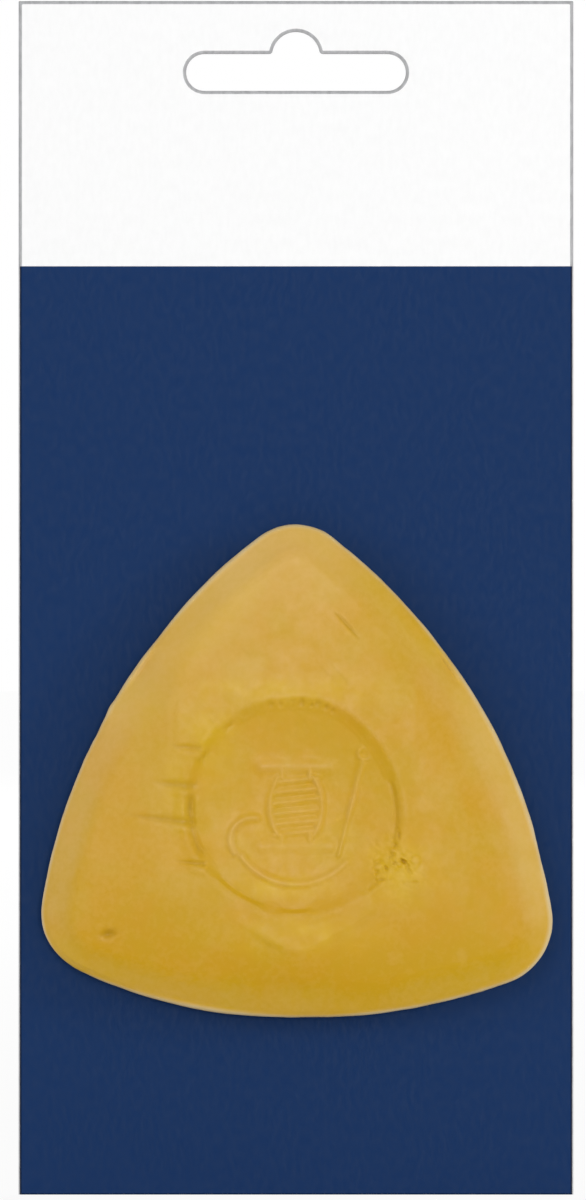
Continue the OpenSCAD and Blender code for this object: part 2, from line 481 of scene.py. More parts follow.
# A chip's edge, as shares of its half sizes, how ragged it is and how its colour follows its height:
# painted shade where it sinks, painted highlight where it stands up
CHIP_EDGE = (1.7, 0.3)
CHIP_RAGGED = 0.5
CHIP_DARK = 3.6
CHIP_PALE = 0.4
# The crumbled field round the chips: paler all over, with painted shade on its low crumbs and painted
# highlight on its high ones
CRUMB_FIELD = (10.6, -6.3)
CRUMB_FIELD_W = 4.2
CRUMBS = [(1.0, 0.42, 62), (0.5, 0.84, 65)]
CRUMB_HEIGHT = 0.05
CRUMB_DARK = 0.3
CRUMB_SHADE = (0.5, 1.2)
CRUMB_PALE = 0.1
CRUMB_MOTTLE = 0.12


def chip_relief(x, y):
    """Height, painted shade and painted highlight of the broken places of the roundel's rim."""
    height, dark, pale = np.zeros_like(x), np.zeros_like(x), np.zeros_like(x)
    ragged = 1 + CHIP_RAGGED * lumps(x, y, size=0.35, seed=61)
    for place, long_r, short_r, turn, rise in CHIPS:
        u = direction(turn)
        dx, dy = x - place[0], y - place[1]
        d = np.hypot((dx * u[0] + dy * u[1]) / long_r, (dy * u[0] - dx * u[1]) / short_r)
        flake = smooth(*CHIP_EDGE, d * ragged)
        height += rise * flake
        if rise < 0:
            dark = np.maximum(dark, CHIP_DARK * -rise * flake)
        else:
            pale = np.maximum(pale, CHIP_PALE * flake)
    crumbled = ridge(np.hypot(x - CRUMB_FIELD[0], y - CRUMB_FIELD[1]), CRUMB_FIELD_W)
    crumbs = layered(x, y, CRUMBS)
    height += CRUMB_HEIGHT * crumbled * crumbs
    dark = np.maximum(dark, CRUMB_DARK * crumbled * smooth(*CRUMB_SHADE, -crumbs))
    return height, dark, np.maximum(pale, crumbled * (CRUMB_PALE + CRUMB_MOTTLE * crumbs))


# Press marks left of the roundel: outer end, inner end and width, with a pad of pushed-up chalk below each;
# the marks carry painted shade and the pads painted highlight
PRESS_MARKS = [
    ((-13.7, 6.45), (-10.6, 6.2), 0.6),
    ((-15.6, 2.5), (-11.3, 2.1), 0.9),
    ((-18.7, -1.0), (-11.3, -1.8), 0.75),
    ((-13.2, -6.0), (-10.0, -6.3), 0.5),
]
# Shares of a mark's length over which it and its pad come in
PRESS_FADE = (-0.1, 0.6)
PAD_FADE = (0.3, 0.9)
PRESS_UNEVEN = 0.2
PRESS_DEPTH = 0.12
PRESS_DARK = 0.55
PAD_DROP = 0.75
PAD_HEIGHT = 0.04
PAD_PALE = 0.25
# Scratches: start, end and strength
SCRATCHES = [
    ((4.3, 20.9), (6.7, 18.2), 1.0),
    ((2.2, 15.6), (4.6, 12.9), 0.2),
    ((3.4, 15.9), (6.1, 12.6), 0.2),
    ((-6.0, 17.2), (-4.9, 15.9), 0.2),
]
SCRATCH_W = 0.3
SCRATCH_END = 0.02
SCRATCH_DEPTH = 0.08
# SCRATCH_DARK: painted shade in the scratches
SCRATCH_DARK = 0.5
# A pit at the lower left; distances across it count for less than those up, so it is wide, and it leans
PIT = (-20.3, -13.9)
PIT_W = 0.9
PIT_ACROSS = 0.8
PIT_UP = 1.2
PIT_LEAN = 0.3
PIT_DEPTH = 0.3
# PIT_DARK: painted shade in the pit
PIT_DARK = 0.9


def wear_relief(x, y):
    """Height, painted shade and painted highlight of the press marks, scratches, pit and chips."""
    height, dark, pale = chip_relief(x, y)
    uneven = patchy(lumps(x, y, size=0.9, seed=64), PRESS_UNEVEN)
    for a, b, width in PRESS_MARKS:
        d, along = line_distance(x, y, a, b)
        cut = ridge(d, width * (0.5 + 0.5 * along)) * smooth(*PRESS_FADE, along) * uneven
        d, along = line_distance(x, y, (a[0], a[1] - PAD_DROP), (b[0], b[1] - PAD_DROP))
        pad = ridge(d, PAD_DROP) * smooth(*PAD_FADE, along)
        height += PAD_HEIGHT * pad - PRESS_DEPTH * cut
        dark = np.maximum(dark, PRESS_DARK * cut)
        pale = np.maximum(pale, PAD_PALE * pad)
    for a, b, strength in SCRATCHES:
        d, along = line_distance(x, y, a, b)
        taper = np.sqrt(np.sin(math.pi * np.clip(along, SCRATCH_END, 1 - SCRATCH_END)))
        cut = strength * ridge(d, SCRATCH_W) * taper
        height -= SCRATCH_DEPTH * cut
        dark = np.maximum(dark, SCRATCH_DARK * cut)
    across, up = x - PIT[0], y - PIT[1]
    cut = ridge(np.hypot(PIT_ACROSS * across - PIT_LEAN * up, PIT_UP * up), PIT_W)
    height -= PIT_DEPTH * cut
    return height, np.maximum(dark, PIT_DARK * cut), pale


# The V below the roundel: a worn ridge along the lower edges of the land, with painted highlight on it, and
# the hollow at its foot, with painted shade in it
# Sines of the headings between which it comes in
V_BELOW = (-0.4, -0.6)
V_PATCHES = 0.3
V_LIP_SPAN = (-9.0, -6.0, -1.0, 3.0)
V_LIP_IN = 0.6
V_LIP_W = 1.2
V_LIP_HEIGHT = 0.06
V_LIP_PALE = 0.12
V_FOOT_SPAN = (-6.5, -4.5, -1.0, 1.5)
V_FOOT_RIGHT_SPAN = (1.0, 4.0, 8.0, 12.0)
V_FOOT_RIGHT_SHARE = 0.5
V_FOOT_OUT = 0.4
V_FOOT_W = 0.9
V_FOOT_DEPTH = 0.05
V_FOOT_DARK = 0.2


def land_lip(x, y):
    """Strength of the V's ridge and of the hollow at its foot."""
    angle, reach = np.arctan2(y, x), np.hypot(x, y)
    past = reach - land_reach(angle)
    below = smooth(*V_BELOW, np.sin(angle)) * patchy(lumps(x, y, size=2.1, seed=14), V_PATCHES)
    lip = below * fade(x, V_LIP_SPAN) * ridge(past + V_LIP_IN, V_LIP_W)
    foot = fade(x, V_FOOT_SPAN) + V_FOOT_RIGHT_SHARE * fade(x, V_FOOT_RIGHT_SPAN)
    return lip, below * foot * ridge(past - V_FOOT_OUT, V_FOOT_W)


# Unevenness of the pressed surface, broad swells to a fine grain: height, size and seed
SKIN = [(0.035, 9.0, 1), (0.014, 3.4, 2), (0.005, 1.1, 3), (0.003, 0.45, 4)]
# Distances from the drawing edge over which the surface's relief comes in
RELIEF_START = (0.3, 1.6)
BACK_DIP = 0.05


def front_surface(x, y):
    """Height of the front above the middle plane, the painted shade of its hollows and the painted
    highlight of its raised parts.
    """
    away = smooth(*RELIEF_START, edge_distance(x, y))
    stamp, stamp_dark, stamp_pale = stamp_relief(x, y)
    wear, wear_dark, wear_pale = wear_relief(x, y)
    lip, foot = land_lip(x, y)
    relief = wear + layered(x, y, SKIN) + V_LIP_HEIGHT * lip - V_FOOT_DEPTH * foot
    dark = np.maximum.reduce([stamp_dark, wear_dark, V_FOOT_DARK * foot])
    pale = np.maximum.reduce([stamp_pale, wear_pale, V_LIP_PALE * lip])
    return plain_face(x, y) + stamp + away * relief, dark, pale


def back_surface(x, y):
    """The back is the same press half without a stamp; its skin only dips, so it stays off the dots."""
    away = smooth(*RELIEF_START, edge_distance(x, y))
    return plain_face(x, y) - BACK_DIP * away * (1 + lumps(x, y, size=7.0, seed=6)) / 2


# Unevenness of the drawing edge, which is thin and chips as the chalk is handled: place, depth and width
DENTS = [
    ((-14.9, 18.5), 0.2, 5.0),
    ((-20.2, 10.6), -0.12, 1.4),
    ((-21.8, 7.7), 0.1, 1.2),
    ((-22.8, 5.1), -0.05, 1.2),
    ((-24.8, -17.8), 0.34, 6.5),
    ((-18.5, -19.6), 0.1, 4.0),
    ((-9.5, -22.3), -0.14, 7.0),
    ((2.0, -23.1), 0.1, 7.0),
    ((26.6, -5.7), 0.13, 5.0),
]
EDGE_SKIN = [(0.04, 5.0, 31), (0.025, 1.9, 32), (0.01, 0.6, 33)]
# The whole outline leans: to the right above the base, and to the left towards the tip
EDGE_LEAN = 0.09
LEAN_HALF_W = 12
LEAN_START = (-20.0, -12.0)
LEAN_TURN = (8.0, 18.0)


def edge_push(rim):
    """How far each point of the rim is moved outward."""
    x, y = rim[:, 0], rim[:, 1]
    lean = EDGE_LEAN * np.clip(x / LEAN_HALF_W, -1.0, 1.0) * smooth(*LEAN_START, y)
    push = layered(x, y, EDGE_SKIN) + lean * (1 - 2 * smooth(*LEAN_TURN, y))
    for (dent_x, dent_y), depth, width in DENTS:
        push = push - depth * ridge(np.hypot(x - dent_x, y - dent_y), width)
    return push


# How many rings of points each part of the chalk has, and the radii at which the face's and the back's end
NOSE_RINGS = 8
BEVEL_RINGS = 12
FACE_RINGS = 104
STAMP_RINGS = 104
BACK_RINGS = 24
INNER_R = STAMP_R + 1.2
BACK_INNER_R = 2.0


def chalk_rings():
    """Rings from the middle of the back, out round the drawing edge and in to the middle of the front."""
    rim = outline(0.0)
    push = (rim - outline(1.0)) * edge_push(rim)[:, None]
    bevel = []
    for inset in np.linspace(nose_end, BEVEL_W, BEVEL_RINGS + 1)[1:]:
        bevel.append(outline(inset) + push * (1 - inset / BEVEL_W))
    outer = np.hypot(shoulder[:, 0], shoulder[:, 1])
    ray = shoulder / outer[:, None]

    def inward(inner, count):
        return [ray * (outer + (inner - outer) * s / count)[:, None] for s in range(1, count + 1)]

    middle = [ray * (INNER_R * (1 - s / STAMP_RINGS)) for s in range(1, STAMP_RINGS)]
    back = bevel[::2] + inward(BACK_INNER_R, BACK_RINGS)
    front = bevel + inward(INNER_R, FACE_RINGS) + middle
    rings, hollow_shade, raised_highlight = [], [], []

    def add(ring, height, dark, pale):
        rings.append(np.column_stack([ring, height]))
        hollow_shade.append(dark)
        raised_highlight.append(pale)

    zero = np.zeros(len(rim))
    for ring in reversed(back):
        add(ring, -back_surface(ring[:, 0], ring[:, 1]), zero, zero)
    for turn in np.linspace(-NOSE_TURN, NOSE_TURN, 2 * NOSE_RINGS - 1):
        nose = outline(NOSE_R * (1 - math.cos(turn))) + push
        add(nose, zero + NOSE_R * math.sin(turn), zero, zero)
    for ring in front:
        add(ring, *front_surface(ring[:, 0], ring[:, 1]))
    return rings, np.concatenate([[0.0], *hollow_shade, [0.0]]), np.concatenate([[0.0], *raised_highlight, [0.0]])


# Making meshes
def ring_mesh(name, rings):
    """Closes a stack of equal rings with a point at each end."""
    count, n = len(rings), len(rings[0])
    points = np.vstack([rings[0].mean(0)[None], *rings, rings[-1].mean(0)[None]])
    i = np.arange(n)
    j = (i + 1) % n
    faces = []
    for k in range(count - 1):
        a, b = 1 + k * n, 1 + (k + 1) * n
        faces += np.column_stack([a + i, a + j, b + j, b + i]).tolist()
    last = 1 + (count - 1) * n
    faces += np.column_stack([np.zeros(n, int), 1 + j, 1 + i]).tolist()
    faces += np.column_stack([np.full(n, len(points) - 1), last + i, last + j]).tolist()
    mesh = bpy.data.meshes.new(name)
    mesh.from_pydata(points.tolist(), [], faces)
    return mesh


def face_outward(mesh):
    bm = bmesh.new()
    bm.from_mesh(mesh)
    bmesh.ops.recalc_face_normals(bm, faces=bm.faces)
    bm.to_mesh(mesh)
    bm.free()
    mesh.update()


def shade_smooth(mesh):
    mesh.polygons.foreach_set("use_smooth", [True] * len(mesh.polygons))


def add_attribute(mesh, name, values):
    layer = mesh.attributes.new(name, "FLOAT", "POINT")
    layer.data.foreach_set("value", np.asarray(values, np.float32))


def new_piece(name, mesh, *materials):
    piece = bpy.data.objects.new(name, mesh)
    bpy.context.scene.collection.objects.link(piece)
    for material in materials:
        mesh.materials.append(material)
    return piece


def dress(piece, node, body):
    """The piece rides on a body and stands in for a CAD node, which is hidden."""
    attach(piece, body)
    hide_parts(node)


# The chalk's colours, mostly as zones that fade in and out
ALL = ()
# A zone's share, then its stops across, up and in from the edge: two where it comes in, two more to go out
# Pale powder that rubbing has left, mixed with painted highlight up towards the tip and on the lower side
# bevels and painted light on the base bevel; less of it where the share is below 0
POWDER_AND_LIGHT = [
    (0.07, ALL, (-17.0, -7.0), ALL),
    (0.01, ALL, (8.0, 18.0), ALL),
    (0.2, ALL, (18.0, 29.0), ALL),
    (-0.03, (2.0, 9.0), (14.0, 8.0), ALL),
    (-0.03, (12.0, 15.0), (-15.0, -11.0, -5.0, 2.0), ALL),
    (-0.03, (-12.0, -15.0), (-15.0, -11.0, -5.0, 2.0), ALL),
    (0.07, (2.0, -9.0), (6.0, 16.0), ALL),
    (0.08, (2.0, -9.0), (6.0, 16.0), (4.5, 1.5)),
    (0.15, (0.0, 14.0), (-16.5, -10.5, 4.0, 25.0), (5.6, 2.2)),
    (0.1, (0.0, -14.0), (-16.5, -10.5, 6.0, 16.0), (3.9, 1.8)),
    (0.05, (0.0, -12.0), (-16.5, -10.5), (8.0, 4.0)),
    (-0.04, ALL, (12.0, 18.0, 24.0, 30.0), (2.2, 1.2)),
    (-0.03, (-2.0, 2.0), (12.0, 18.0, 24.0, 30.0), (2.2, 1.2)),
    (0.09, ALL, (-10.0, -16.0), (4.5, 1.0)),
]
# Painted shade and highlight in the roundel's dish, as zones like those above: less pale at the top of the
# dish and more at its lower left; the third stops are for the height plus a little of the way across
ROUNDEL_PAINTED_LIGHT = [
    (0.03, (-5.0, -8.0), (2.0, -2.0), ALL),
    (-0.05, ALL, (-4.0, 3.0), ALL),
    (-0.03, ALL, ALL, (3.0, 9.0)),
]
ROUNDEL_LEAN = 0.12
ROUNDEL_FADE = 1.0
MOTTLE = [(0.03, 4.2, 41), (0.02, 1.7, 42)]
# The bare band round the roundel, which is barer on its left
BAND_SHARE = 0.05
BAND_LEFT_SHARE = 0.03
BAND_LEFT = (4.0, -8.0)
BAND_PAST = 0.6
BAND_W = 3.6
BAND_PATCHES = 0.5
PALE_SPOTS = [(10.6, -16.5), (17.8, -16.4)]
PALE_SPOT_SHARE = 0.07
PALE_SPOT_W = 1.4
# Where rubbed or broken chalk shows its fresh yellow: middle, half width, half height and strength
FRESH_PATCHES = [
    ((10.9, -6.9), (3.2, 2.8), 0.9),
    ((-9.4, 7.4), (2.2, 3.6), 0.75),
    ((-12.6, 0.6), (1.6, 4.4), 0.45),
    ((0.5, -14.0), (6.5, 1.7), 0.8),
    ((-1.2, -8.7), (4.6, 1.2), 0.8),
    ((-5.0, -15.0), (4.0, 1.2), 0.25),
    ((-0.6, 12.4), (7.5, 1.3), 0.75),
    ((0.0, -4.0), (9.0, 4.5), 0.3),
]
PATCH_W = 2.0
PATCH_UNEVEN = 0.35
PATCH_BARE = 0.5
# Painted light, in the same yellow, on the bevels along the base, the left side and the upper left, as
# zones
BEVEL_LIGHT_ZONES = [
    (0.4, ALL, (-11.0, -16.0), (4.6, 1.8)),
    (0.32, (-22.0, -10.0), ALL, (3.6, 1.4)),
    (0.32, (0.0, -7.0), (6.0, 11.0), (7.0, 3.0)),
]
# Share of painted highlight that the raised parts add to the pale mix
RAISED_HIGHLIGHT_SHARE = 0.25
# The drawing edge, pale from rubbing and from painted rim light, more so towards the base: how far in its
# paleness begins and is full, and its shares
RIM_PALE_FADE = (0.5, 0.05)
RIM_PALE_SHARE = 0.7
RIM_PALE_UNEVEN = 0.2
RIM_PALE_LOW_SHARE = 0.1
RIM_PALE_LOW = (0.0, -12.0)


def zone_shares(zones, *places):
    """Each zone's share at every point."""
    shares = []
    for amount, *spans in zones:
        share = np.full_like(places[0], amount)
        for place, stops in zip(places, spans):
            if stops:
                share = share * fade(place, stops)
        shares.append(share)
    return shares


def fresh_patches(x, y):
    share = np.zeros_like(x)
    for (mid_x, mid_y), (half_w, half_h), strength in FRESH_PATCHES:
        away = np.hypot((x - mid_x) / half_w, (y - mid_y) / half_h)
        share = np.maximum(share, strength * ridge(away, PATCH_W))
    return share * patchy(lumps(x, y, size=1.2, seed=45), PATCH_UNEVEN)


def fresh_and_bevel_light(x, y, edge):
    """Share of the chalk's fresh yellow, with the painted light on the bevels."""
    return np.maximum.reduce([fresh_patches(x, y), *zone_shares(BEVEL_LIGHT_ZONES, x, y, edge)])


def powder_and_painted_light(x, y, edge):
    """Share of pale worn chalk and painted highlight: most towards the tip and along the lower parts of the
    two sides; less at the top of the roundel's dish, as painted shade.
    """
    reach = np.hypot(x, y)
    share = sum(zone_shares(POWDER_AND_LIGHT, x, y, edge)) + layered(x, y, MOTTLE)
    roundel = smooth(STAMP_R, STAMP_R - ROUNDEL_FADE, reach)
    share = share + roundel * sum(zone_shares(ROUNDEL_PAINTED_LIGHT, x, y, y + ROUNDEL_LEAN * x))
    band = BAND_SHARE + BAND_LEFT_SHARE * smooth(*BAND_LEFT, x)
    band = band * ridge(reach - STAMP_R - BAND_PAST, BAND_W)
    share = share - band * (1 + BAND_PATCHES * lumps(x, y, size=2.6, seed=44))
    for spot_x, spot_y in PALE_SPOTS:
        share = share + PALE_SPOT_SHARE * ridge(np.hypot(x - spot_x, y - spot_y), PALE_SPOT_W)
    return np.clip(share * (1 - PATCH_BARE * fresh_patches(x, y)), 0.0, 1.0)


def rubbed_and_lit_rim(x, y, edge):
    """Share of the pale colour of the drawing edge: rubbed chalk with painted rim light, more towards the
    base.
    """
    share = RIM_PALE_SHARE + RIM_PALE_UNEVEN * lumps(x, y, size=1.4, seed=43)
    return smooth(*RIM_PALE_FADE, edge) * (share + RIM_PALE_LOW_SHARE * smooth(*RIM_PALE_LOW, y))


def make_chalk(material):
    rings, hollow_shade, raised_highlight = chalk_rings()
    mesh = ring_mesh("chalk_block", rings)
    co = np.empty(len(mesh.vertices) * 3)
    mesh.vertices.foreach_get("co", co)
    x, y, height = co.reshape(-1, 3).T
    edge = edge_distance(x, y)
    # Painted shade in the hollows, then the fresh yellow with painted light on the bevels, pale powder with
    # painted highlight, and the pale drawing edge with painted rim light
    add_attribute(mesh, "hollow_shade", hollow_shade)
    add_attribute(mesh, "fresh_and_bevel_light", np.where(height > 0, fresh_and_bevel_light(x, y, edge), 0.0))
    add_attribute(mesh, "powder_and_painted_light", powder_and_painted_light(x, y, edge) * (1 - hollow_shade) + RAISED_HIGHLIGHT_SHARE * raised_highlight)
    add_attribute(mesh, "rim", rubbed_and_lit_rim(x, y, edge))
    upright = np.column_stack([x, chalk_mid - height, y + stamp_z]) * MM
    mesh.vertices.foreach_set("co", upright.ravel())
    face_outward(mesh)
    shade_smooth(mesh)
    return new_piece("chalk_block", mesh, material)


# The board card: its die-cut edge is crushed, the coating ends before the cut and the grey core bulges out
CRUSH_W = 0.26
CRUSH_DEPTH = 0.14
BULGE = 0.1
BACK_CRUSH = 0.06
CORNER_ROUND = 0.12
EDGE_SPREAD = 0.08
# The cut's profile from front to back: how far into the board it lies, and at which depth
CUT_EDGE = [
    (CRUSH_W, card_front),
    (CRUSH_W * 0.6, card_front + CRUSH_DEPTH * 0.3),
    (CRUSH_W * 0.2, card_front + CRUSH_DEPTH * 0.8),
    (-BULGE * 0.5, card_front + CRUSH_DEPTH * 1.4),
    (-BULGE, card_front + CRUSH_DEPTH * 2.1),
    (-BULGE * 0.7, card_back - BACK_CRUSH * 2),
    (BACK_CRUSH, card_back),
]
CARD_CORNER_STEPS = 6
SLOT_END_POINTS = 25
BUMP_POINTS = 41
ROOT_POINTS = 7


def rounded_corner(centre, r, start):
    """A quarter turn that starts at a heading, anticlockwise."""
    turns = [start + 90 * s / CARD_CORNER_STEPS for s in range(CARD_CORNER_STEPS + 1)]
    return [np.array(centre) + r * direction(turn) for turn in turns]


def card_outline(into):
    """The card's edge at a distance into the board, anticlockwise."""
    r = CORNER_ROUND
    inset = into + r - EDGE_SPREAD
    low_x, high_x = card_low.x + inset, card_high.x - inset
    low_z, high_z = card_low.z + inset, card_high.z - inset
    corners = [((high_x, high_z), 0), ((low_x, high_z), 90), ((low_x, low_z), 180), ((high_x, low_z), 270)]
    return np.array([p for centre, start in corners for p in rounded_corner(centre, r, start)])


def slot_outline(into):
    """The euro slot's edge at a distance into the board, anticlockwise."""
    half = (SLOT_W - SLOT_H) / 2
    middle = SLOT_TOP - SLOT_H / 2
    end_r = SLOT_H / 2 + into
    root_y = SLOT_TOP + BUMP_ROOT_R
    root_x = math.sqrt((BUMP_R + BUMP_ROOT_R) ** 2 - (root_y + BUMP_R) ** 2)
    meet = heading((root_x, root_y + BUMP_R))
    root_r = BUMP_ROOT_R - into
    root_turn = np.linspace(270, 180 + meet, ROOT_POINTS)
    bump_turn = np.linspace(meet, 180 - meet, BUMP_POINTS)[1:-1]
    right_turn = np.linspace(-90, 90, SLOT_END_POINTS)
    left_turn = np.linspace(90, 270, SLOT_END_POINTS)
    points = [np.array([half, middle]) + end_r * direction(a) for a in right_turn]
    points += [np.array([root_x, root_y]) + root_r * direction(a) for a in root_turn]
    points += [np.array([0, -BUMP_R]) + (BUMP_R + into) * direction(a) for a in bump_turn]
    points += [np.array([-root_x, root_y]) + root_r * direction(180 - a) for a in root_turn[::-1]]
    points += [np.array([-half, middle]) + end_r * direction(a) for a in left_turn]
    return np.array(points)


def add_loop(bm, loop, y):
    return [bm.verts.new(Vector((p[0], y, p[1])) * MM) for p in loop]


def bridge(bm, a, b, closed=True):
    """Faces between two rows of points, and from the last back to the first where the rows are closed."""
    n = len(a)
    steps = n if closed else n - 1
    return [bm.faces.new((a[i], a[(i + 1) % n], b[(i + 1) % n], b[i])) for i in range(steps)]


def loop_edges(bm, loop):
    pairs = zip(loop, loop[1:] + loop[:1])
    return [bm.edges.get(pair) or bm.edges.new(pair) for pair in pairs]


COAT, CORE, BACK = range(3)


def make_board(coat, core, back):
    bm = bmesh.new()
    outer = [add_loop(bm, card_outline(into), y) for into, y in CUT_EDGE]
    inner = [add_loop(bm, slot_outline(into), y) for into, y in CUT_EDGE]
    for stack in (outer, inner):
        for a, b in zip(stack, stack[1:]):
            for face in bridge(bm, a, b):
                face.material_index = CORE
                face.smooth = True
    for end, index in ((0, COAT), (-1, BACK)):
        edges = loop_edges(bm, outer[end]) + loop_edges(bm, inner[end])
        fill = bmesh.ops.triangle_fill(bm, edges=edges, use_beauty=True)
        for face in fill["geom"]:
            if isinstance(face, bmesh.types.BMFace):
                face.material_index = index
    bmesh.ops.recalc_face_normals(bm, faces=bm.faces)
    mesh = bpy.data.meshes.new("card_board")
    bm.to_mesh(mesh)
    bm.free()
    return new_piece("card_board", mesh, coat, core, back)


# The print: a film of ink that rolls a little way over the crushed edge on three sides
INK_GAP = 0.004
INK_ROUND = 3
# How much of the film's thickness turns from the front to the side on the steepest part of the edge
INK_TURN = 0.5


def make_print(material):
    film = card_front - ink_front
    bm = bmesh.new()
    rim = bm.verts.layers.float.new("rim")

    def skin(lift):
        rows = []
        for into, depth in CUT_EDGE[:INK_ROUND]:
            steep = 1 - into / CRUSH_W
            inset = into - EDGE_SPREAD - INK_TURN * lift * steep
            low_x, high_x = card_low.x + inset, card_high.x - inset
            low_z = card_low.z + inset
            r = CORNER_ROUND
            path = [(low_x, header_foot)]
            path += [tuple(p) for p in rounded_corner((low_x + r, low_z + r), r, 180)]
            path += [tuple(p) for p in rounded_corner((high_x - r, low_z + r), r, 270)]
            path += [(high_x, header_foot)]
            row = add_loop(bm, path, depth - lift * (1 - INK_TURN * steep))
            for vert in row:
                vert[rim] = 1.0 if into < CRUSH_W else 0.0
            rows.append(row)
        return rows

    top, under = skin(film), skin(INK_GAP)
    for rows in (top, under):
        bm.faces.new(rows[0])
        for a, b in zip(rows, rows[1:]):
            bridge(bm, a, b, closed=False)
    bridge(bm, top[-1], under[-1], closed=False)
    for end in (0, -1):
        bridge(bm, [row[end] for row in top], [row[end] for row in under], closed=False)
    bm.faces.new((top[0][0], top[0][-1], under[0][-1], under[0][0]))
    bmesh.ops.recalc_face_normals(bm, faces=bm.faces)
    mesh = bpy.data.meshes.new("ink_print")
    bm.to_mesh(mesh)
    bm.free()
    return new_piece("ink_print", mesh, material)


# The adhesive dots behind the chalk: round pads of clear gel, drawn in a little between their faces
DOT_STEPS = 10
DOT_POINTS = 72
DOT_RIM = 0.965
DOT_WAIST = 0.05
DOT_UNEVEN = 0.03
DOT_FACE_RINGS = (0.3, 0.6, 0.85)


def make_dot(node, material):
    low, high = (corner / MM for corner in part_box(node))
    centre = (low + high) / 2
    radius = (high.x - low.x) / 2
    angle = np.arange(DOT_POINTS) * 2 * math.pi / DOT_POINTS
    u, v = np.cos(angle), np.sin(angle)
    uneven = 1 + DOT_UNEVEN * lumps(3 * u + centre.x, 3 * v, size=1.2, seed=51)
    profile = [(share, 0.0) for share in DOT_FACE_RINGS]
    for s in range(DOT_STEPS + 1):
        waist = DOT_WAIST * math.sin(math.pi * s / DOT_STEPS)
        profile.append(((DOT_RIM - waist) * uneven, s / DOT_STEPS))
    profile += [(share, 1.0) for share in reversed(DOT_FACE_RINGS)]
    rings = []
    for share, through in profile:
        r = radius * share
        depth = np.full(DOT_POINTS, high.y + (low.y - high.y) * through)
        rings.append(np.column_stack([centre.x + r * u, depth, centre.z + r * v]) * MM)
    mesh = ring_mesh("gel_" + node, rings)
    face_outward(mesh)
    shade_smooth(mesh)
    return new_piece("gel_" + node, mesh, material)


# Materials
def srgb(*levels):
    """A screen colour, 0 to 255, as the linear colour that nodes take."""
    shares = [level / 255 for level in levels]
    linear = [s / 12.92 if s <= 0.04045 else ((s + 0.055) / 1.055) ** 2.4 for s in shares]
    return (*linear, 1.0)


class Nodes:
    """A short way to write a node tree."""

    def __init__(self, tree):
        self.tree = tree

    def add(self, kind, **settings):
        node = self.tree.nodes.new(kind)
        for key, value in settings.items():
            setattr(node, key, value)
        return node

    def plug(self, value, socket):
        if isinstance(value, bpy.types.NodeSocket):
            self.tree.links.new(value, socket)
        else:
            socket.default_value = value

    def math(self, operation, a, b=0.0, clamp=False):
        node = self.add("ShaderNodeMath", operation=operation, use_clamp=clamp)
        self.plug(a, node.inputs[0])
        self.plug(b, node.inputs[1])
        return node.outputs[0]

    def noise(self, size_mm, detail=3.0, rough=0.5, stretch=(1, 1, 1)):
        mapping = self.add("ShaderNodeMapping")
        self.plug(self.add("ShaderNodeTexCoord").outputs["Object"], mapping.inputs["Vector"])
        mapping.inputs["Scale"].default_value = stretch
        node = self.add("ShaderNodeTexNoise")
        self.plug(mapping.outputs["Vector"], node.inputs["Vector"])
        node.inputs["Scale"].default_value = 1 / (size_mm * MM)
        node.inputs["Detail"].default_value = detail
        node.inputs["Roughness"].default_value = rough
        return node.outputs["Fac"]

    def attribute(self, name):
        return self.add("ShaderNodeAttribute", attribute_name=name).outputs["Fac"]

    def ramp(self, value, low, high, out=(0.0, 1.0)):
        """Runs softly from one end of out at low to the other at high."""
        node = self.add("ShaderNodeMapRange", interpolation_type="SMOOTHSTEP")
        for socket, number in zip(node.inputs[:5], (value, low, high, *out)):
            self.plug(number, socket)
        return node.outputs["Result"]

    def mix(self, share, a, b):
        node = self.add("ShaderNodeMix", data_type="RGBA")
        for socket, thing in zip((node.inputs[0], node.inputs[6], node.inputs[7]), (share, a, b)):
            self.plug(thing, socket)
        return node.outputs[2]

    def bump(self, height, depth_mm, strength, below=None):
        node = self.add("ShaderNodeBump")
        node.inputs["Strength"].default_value = strength
        node.inputs["Distance"].default_value = depth_mm * MM
        self.plug(height, node.inputs["Height"])
        if below is not None:
            self.plug(below, node.inputs["Normal"])
        return node.outputs["Normal"]

    def seen(self):
        """1 for the rays that look at the backdrop: the camera's and those of gloss and glass."""
        rays = self.add("ShaderNodeLightPath").outputs
        shiny = self.math("MAXIMUM", rays["Is Glossy Ray"], rays["Is Transmission Ray"])
        return self.math("MAXIMUM", rays["Is Camera Ray"], shiny)


def new_material(name):
    material = bpy.data.materials.new(name)
    material.use_nodes = True
    return material, Nodes(material.node_tree), material.node_tree.nodes["Principled BSDF"]


CHALK_HOLLOW_SHADE_SHARE = 0.85
CHALK_GRAIN = 0.03
CHALK_SPECK_SHARE = 0.15
CHALK_GLOSS = 0.25


